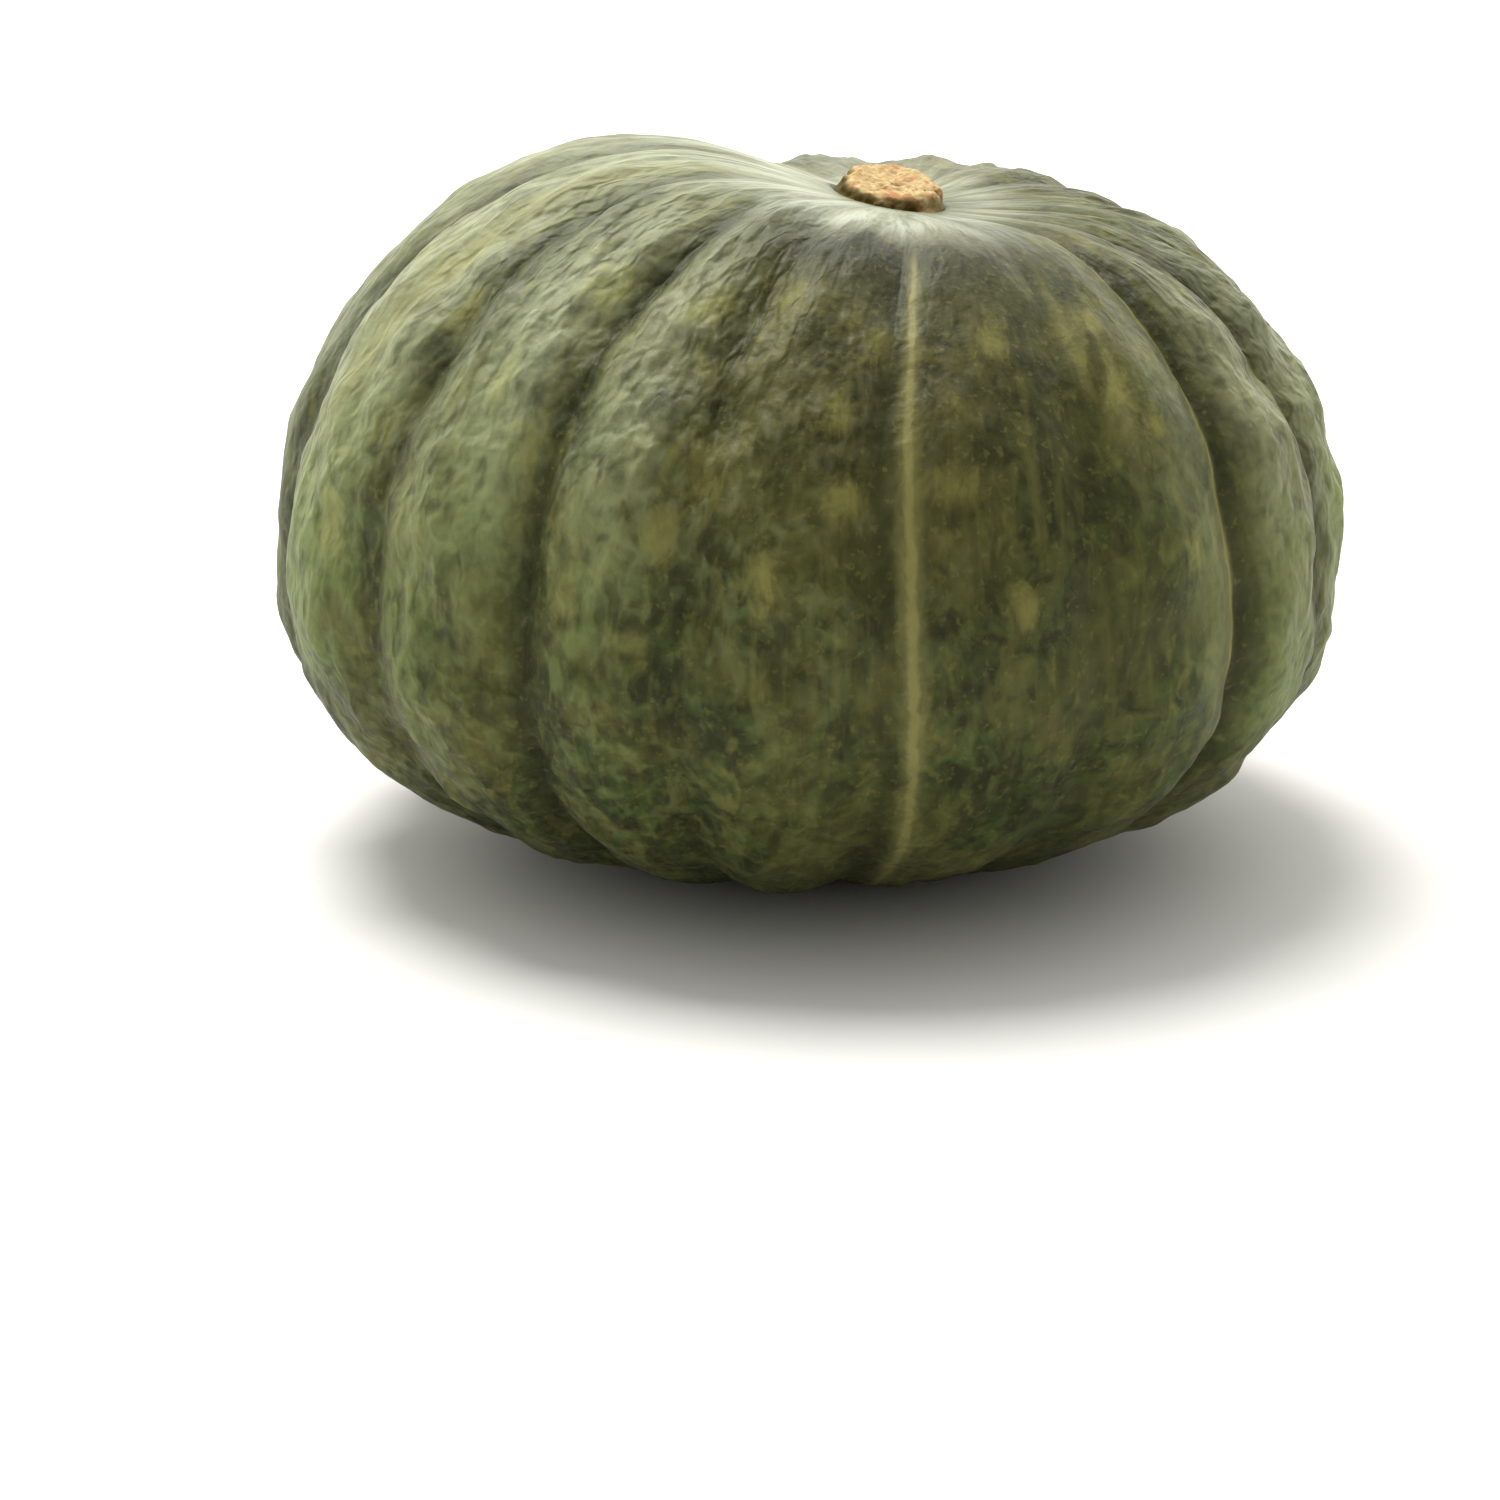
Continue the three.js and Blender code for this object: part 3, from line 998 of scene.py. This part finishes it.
    def build(self) -> bpy.types.Object:
        """Builds, dresses and places the fruit.

        Returns:
            The fruit's object.
        """
        columns = self.columns_per_rib * len(self.form.furrows)
        mesh = spun_mesh("fruit_surface", self.profile(), columns, len(self.form.furrows))
        places = read_places(mesh)
        out, height = np.hypot(places[:, 0], places[:, 1]), places[:, 2]
        turn = np.degrees(np.arctan2(places[:, 0], -places[:, 1]))
        column = np.round(turn * columns / 360.0).astype(int) % columns
        angle, hollow, sharp = self.form.rib_places(column, self.columns_per_rib)
        level = self.form.level_of(out, height)
        relief, rough = self.relief(angle, out, level)
        line_way, line_share = self.line_marks(angle, level)
        relief += self.line_height * np.exp(-(line_way**2)) * line_share * smoothstep(out, *self.line_fade)
        smooth = self.form.points(angle, out, height, hollow, np.zeros_like(relief))
        points = self.form.points(angle, out, height, hollow, relief)
        scar = np.where(height < 0.0, 1.0 - smoothstep(out, 0.6 * self.scar_radius, self.scar_radius), 0.0)
        points[:, 2] -= self.scar_depth * scar
        floor = (out < self.socket_radius + self.RIM_SLACK) & (height > 0.0)
        floor &= height < self.form.top_height - 0.9 * self.socket_depth
        points[floor] = self.socket_floor(angle[floor], out[floor])
        self.shift = self.way_to_frame(smooth[~floor])
        write_places(mesh, points + self.shift)
        around = np.radians(angle)
        grain = np.stack([np.cos(around), np.sin(around), np.radians(level) * self.grain_length], axis=1)
        write_mark(mesh, "grain", grain * self.form.radius)
        marks = self.colour_marks(angle, out, height, level, sharp)
        marks |= {"line_way": line_way, "line_share": line_share, "rough": rough, "scar": scar}
        for name in self.MARKS:
            write_mark(mesh, name, marks[name])
        return show(Part.FRUIT, mesh, RindFinish().make())

    def socket_floor(self, angle: Array, out: Array) -> Array:
        """The floor of the stem's socket, which leans with the stem."""
        around = np.radians(angle)
        x, y = out * np.sin(around), -out * np.cos(around)
        flat = np.stack([x, y, np.full_like(out, -self.socket_depth)], axis=1)
        tilt = np.array(Matrix.Rotation(self.form.lean, 3, "Y"))
        return flat @ tilt.T + np.array(self.form.seat)

    def way_to_frame(self, points: Array) -> Array:
        """The way from the form's own origin to the frame's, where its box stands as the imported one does.

        Args:
            points: The form's surface without the fine relief.

        Returns:
            The way along X, Y and Z.
        """
        low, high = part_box(Part.FRUIT.value)
        middle = (points.min(axis=0) + points.max(axis=0)) / 2.0
        way = (np.array(low) + np.array(high)) / 2.0 - middle
        way[2] = low.z - self.form.rest_level
        return way


@dataclass(frozen=True)
class Notch:
    """A notch in the rim of the stem's end: its place, its half width and length, and how far it drops."""

    x: float
    y: float
    half_width: float
    half_length: float
    drop: float

    def share(self, x: Array, y: Array) -> Array:
        """How far into the notch each place is, from 0 to 1."""
        return np.exp(-(((x - self.x) / self.half_width) ** 2 + ((y - self.y) / self.half_length) ** 2))


@dataclass
class StemMesh:
    """The short corky stub: ridged sides, and a rough broken end that slopes to the front."""

    MARKS = ("cut", "cork_shade")

    radius: float = 0.0089
    middle_radius: float = 0.0020
    slope: tuple[float, float] = (0.05, 0.20)
    columns: int = 192
    sectors: int = 12
    rows: int = 84
    side: tuple[tuple[float, float], ...] = (
        (0.0, -0.0025), (0.6, -0.0025), (0.97, -0.0025), (1.0, -0.0022), (1.0, 0.0002), (0.97, 0.0008),
        (0.96, 0.0014), (0.96, 0.0019), (0.93, 0.0025), (0.86, 0.0030), (0.74, 0.0032), (0.56, 0.0030),
        (0.36, 0.0028), (0.16, 0.0028), (0.0, 0.0029),
    )
    side_levels: tuple[float, float] = (0.0002, 0.0020)
    ridge_count: int = 5
    ridge_turn: float = 0.7
    ridge_height: float = 0.00025
    crease_count: int = 13
    crease_height: float = 0.00020
    clot_size: float = 0.0021
    clot_height: float = 0.00036
    clot_pull: float = 0.00035
    grit_size: float = 0.0007
    grit_height: float = 0.00008
    notch: Notch = Notch(0.0032, -0.0078, 0.0040, 0.0020, 0.0008)
    cut_levels: tuple[float, float] = (0.0016, 0.0024)
    foot_levels: tuple[float, float] = (0.0010, 0.0031)
    tan_way: float = -0.3
    dark_way: float = -2.0

    def profile(self) -> list[tuple[float, float]]:
        """The stub's side outline at even steps, from the middle of its root to the middle of its end."""
        out, height = (np.array(column) for column in zip(*self.side))
        out = out * self.radius
        along = np.concatenate([[0.0], np.cumsum(np.hypot(np.diff(out), np.diff(height)))])
        steps = np.linspace(0.0, along[-1], self.rows + 1)
        return list(zip(np.interp(steps, along, out), np.interp(steps, along, height)))

    def surface(self, turn: Array, out: Array, height: Array) -> tuple[Array, Array, Array]:
        """The stub's surface, upright, with its ridges, creases, clots and notch.

        Args:
            turn: The angle round the stem in radians, from +X towards +Y.
            out: The distance from its axis on the side outline.
            height: The height on the side outline.

        Returns:
            One row of x, y and z for each place, the clots there, and how far into the notch it is.
        """
        above = smoothstep(height, *self.side_levels)
        ridge = self.ridge_height * (np.cos(self.ridge_count * turn + self.ridge_turn) - 1.0)
        crease = self.crease_height * (np.sin(self.crease_count * turn) - 1.0)
        radius = out + above * (ridge + crease) * smoothstep(out, self.middle_radius, self.radius)
        x, y = radius * np.cos(turn), radius * np.sin(turn)
        points = np.stack([x, y, height + above * (self.slope[0] * x + self.slope[1] * y)], axis=1)
        cells = points / self.clot_size + 3.1
        clots = np.array([noise.fractal(Vector(cell), 0.7, 2.1, 3) for cell in cells])
        grit = soft_noise(points, self.grit_size, offset=9.4)
        notch = self.notch.share(x, y) * above
        rough = above * (self.clot_height * clots + self.grit_height * grit)
        points[:, 2] += rough * smoothstep(out, 0.0, self.middle_radius) - self.notch.drop * notch
        pull = above * (self.clot_pull * np.minimum(clots, 0.0) + self.grit_height * (grit - 1.0))
        points[:, 0] += pull * np.cos(turn)
        points[:, 1] += pull * np.sin(turn)
        return points, clots, notch

    def cork_marks(
        self, turn: Array, out: Array, height: Array, clots: Array, notch: Array,
    ) -> tuple[Array, Array]:
        """Where the tan cork of the broken end shows, and where shade is painted on the cork.

        Args:
            turn: The angle round the stem in radians, from +X towards +Y.
            out: The distance from its axis on the side outline.
            height: The height on the side outline.
            clots: The clots of the surface.
            notch: How far into the notch each place is.

        Returns:
            The two marks, each a share from 0 to 1 for each place.
        """
        cut = smoothstep(height - 0.10 * out, *self.cut_levels)
        tan_side = smoothstep(np.cos(turn - self.tan_way), 0.25, 0.85)
        cut = np.maximum(cut, 0.85 * tan_side * smoothstep(height, 0.0, 0.001))
        # Painted shade: in the pits between clots, in the notch, low on the side where the stem meets the
        # fruit, and on the front left rim.
        clot_pit_shade = 0.45 * smoothstep(-clots, 0.30, 0.70) * cut
        dark_side = smoothstep(np.cos(turn - self.dark_way), 0.0, 0.7)
        foot_shade = (1.0 - smoothstep(height, *self.foot_levels)) * (0.4 + 0.6 * dark_side)
        rim = 0.8 * dark_side * smoothstep(out, 0.80 * self.radius, 0.92 * self.radius)
        return cut, np.clip(np.maximum.reduce([clot_pit_shade, 1.7 * notch, foot_shade, rim]), 0.0, 1.0)

    def build(self, form: FruitForm, shift: Array) -> bpy.types.Object:
        """Builds, dresses and places the stem.

        Args:
            form: The fruit's form, which says where the stem stands.
            shift: The way from the form's own origin to its place in the frame.

        Returns:
            The stem's object.
        """
        mesh = spun_mesh("stem_surface", self.profile(), self.columns, self.sectors)
        places = read_places(mesh)
        out, height = np.hypot(places[:, 0], places[:, 1]), places[:, 2]
        turn = np.arctan2(places[:, 1], places[:, 0])
        points, clots, notch = self.surface(turn, out, height)
        tilt = np.array(Matrix.Rotation(form.lean, 3, "Y"))
        write_places(mesh, points @ tilt.T + np.array(form.seat) + shift)
        for name, mark in zip(self.MARKS, self.cork_marks(turn, out, height, clots, notch)):
            write_mark(mesh, name, mark)
        return show(Part.STEM, mesh, CorkFinish().make())


@dataclass
class Studio:
    """The pale floor, the soft light and the camera."""

    floor_radius: float = 4.0
    floor_colour: Colour = (0.72, 0.72, 0.72)
    floor_roughness: float = 0.9
    floor_specular: float = 0.1
    sky_colour: Colour = (1.0, 0.985, 0.93)
    sky_way: Way = (-0.15, 0.95, 0.27)
    sky_start: float = -0.05
    sky_low: float = 0.52
    sky_high: float = 2.6
    lamp_colour: Colour = (1.0, 0.985, 0.94)
    lamp_way: Way = (-0.20, 0.34, 0.86)
    lamp_distance: float = 3.0
    lamp_size: float = 1.8
    lamp_power: float = 118.0
    image_side: float = 1500.0
    focal_pixels: float = 5598.0
    sensor: float = 36.0
    distance: float = 0.900
    elevation: float = 14.6
    middle_pixel: tuple[float, float] = (807.4, 550.5)

    def floor(self) -> None:
        """Lays a large round floor under the squash."""
        body = bmesh.new()
        bmesh.ops.create_circle(body, cap_ends=True, radius=self.floor_radius, segments=96)
        mesh = bpy.data.meshes.new("floor")
        body.to_mesh(mesh)
        body.free()
        material = bpy.data.materials.new("matte_white_floor")
        material.use_nodes = True
        bench = NodeBench(material.node_tree)
        shader = bench.add("ShaderNodeBsdfPrincipled", {
            "Base Color": self.floor_colour,
            "Roughness": self.floor_roughness,
            "Specular IOR Level": self.floor_specular,
        })
        bench.add("ShaderNodeOutputMaterial", {"Surface": shader.outputs[0]})
        mesh.materials.append(material)
        floor = bpy.data.objects.new("floor", mesh)
        bpy.context.scene.collection.objects.link(floor)

    def sky(self) -> None:
        """Lights the squash softly from all round, least from the camera's side."""
        world = bpy.data.worlds.new("soft_studio")
        world.use_nodes = True
        bpy.context.scene.world = world
        bench = NodeBench(world.node_tree)
        way = bench.add("ShaderNodeTexCoord").outputs["Generated"]
        towards = tuple(Vector(self.sky_way).normalized())
        near = bench.add("ShaderNodeVectorMath", {0: way, 1: towards}, operation="DOT_PRODUCT")
        strength = bench.add("ShaderNodeMapRange", {
            "Value": near.outputs["Value"], "From Min": self.sky_start, "From Max": 1.0,
            "To Min": self.sky_low, "To Max": self.sky_high,
        }, interpolation_type="SMOOTHSTEP").outputs["Result"]
        glow = bench.add("ShaderNodeBackground", {"Color": self.sky_colour, "Strength": strength})
        bench.add("ShaderNodeOutputWorld", {"Surface": glow.outputs[0]})

    def lamp(self, middle: Vector) -> None:
        """Hangs one large soft lamp above and behind the squash, on its left.

        Args:
            middle: The place that the lamp points at.
        """
        data = bpy.data.lights.new("large_soft_lamp", "AREA")
        data.shape = "DISK"
        data.size = self.lamp_size
        data.energy = self.lamp_power
        data.color = self.lamp_colour
        lamp = bpy.data.objects.new("large_soft_lamp", data)
        bpy.context.scene.collection.objects.link(lamp)
        way = Vector(self.lamp_way).normalized()
        lamp.location = middle + way * self.lamp_distance
        lamp.rotation_mode = "QUATERNION"
        lamp.rotation_quaternion = (-way).to_track_quat("-Z", "Y")

    def camera(self, middle: Vector) -> None:
        """Sets the camera so that the fruit's middle stands where the photograph has it.

        Args:
            middle: The middle of the fruit's widest level.
        """
        tilt = math.radians(self.elevation)
        back = Vector((0.0, -math.cos(tilt), math.sin(tilt)))
        right = Vector((1.0, 0.0, 0.0))
        up = right.cross(-back)
        across = (self.middle_pixel[0] - self.image_side / 2.0) / self.focal_pixels * self.distance
        above = (self.image_side / 2.0 - self.middle_pixel[1]) / self.focal_pixels * self.distance
        data = bpy.data.cameras.new("camera")
        data.sensor_width = self.sensor
        data.lens = self.focal_pixels * self.sensor / self.image_side
        camera = bpy.data.objects.new("camera", data)
        bpy.context.scene.collection.objects.link(camera)
        camera.location = middle + back * self.distance
        aim = middle - right * across - up * above
        camera.rotation_mode = "QUATERNION"
        camera.rotation_quaternion = (aim - camera.location).to_track_quat("-Z", "Y")
        bpy.context.scene.camera = camera

    def colours(self) -> None:
        """Shows colours plainly, with no film look."""
        view = bpy.context.scene.view_settings
        view.view_transform = "Standard"
        view.look = "None"


def main() -> None:
    """Builds the fruit, the stem and the studio, in that order."""
    logging.basicConfig(level=logging.INFO, format="%(message)s")
    fruit = FruitMesh()
    fruit.build()
    StemMesh().build(fruit.form, fruit.shift)
    middle = Vector(fruit.shift)
    studio = Studio()
    studio.floor()
    studio.sky()
    studio.lamp(middle)
    studio.camera(middle)
    studio.colours()


if __name__ == "__main__":
    main()
